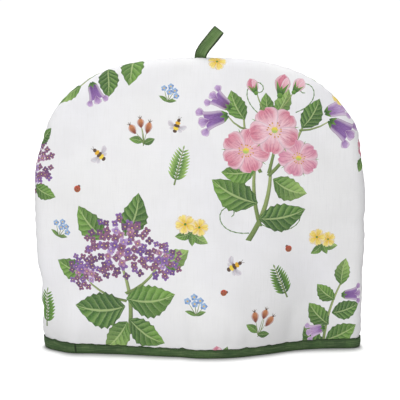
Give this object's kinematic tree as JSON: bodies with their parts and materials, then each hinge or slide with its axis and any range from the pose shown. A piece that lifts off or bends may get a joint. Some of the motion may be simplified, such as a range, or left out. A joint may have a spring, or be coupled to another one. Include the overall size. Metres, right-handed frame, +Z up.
{
  "type": "tea cosy",
  "caption": "Padded cloth tea cosy: a rounded dome of wadded front and back panels, open at its tape-bound hem, with a folded tape hanging loop in the seam at the top.",
  "frame": {"origin": "centre of the bounding box's bottom face, in the plane that the hem stands on", "axes": "+Z up; X runs across the dome from side seam to side seam; the front panel faces -Y"},
  "size_m": [0.3397, 0.1299, 0.3321],
  "materials": {
    "printed_cotton": "matt woven cotton, white ground with a printed pattern of flowers",
    "binding_tape": "matt woven tape, dark green",
    "loop_tape": "matt woven tape, green"
  },
  "bodies": {
    "root": {"panel_front": "printed_cotton", "panel_back": "printed_cotton", "hem_binding": "binding_tape", "hanging_loop": "loop_tape"}
  },
  "joints": []
}
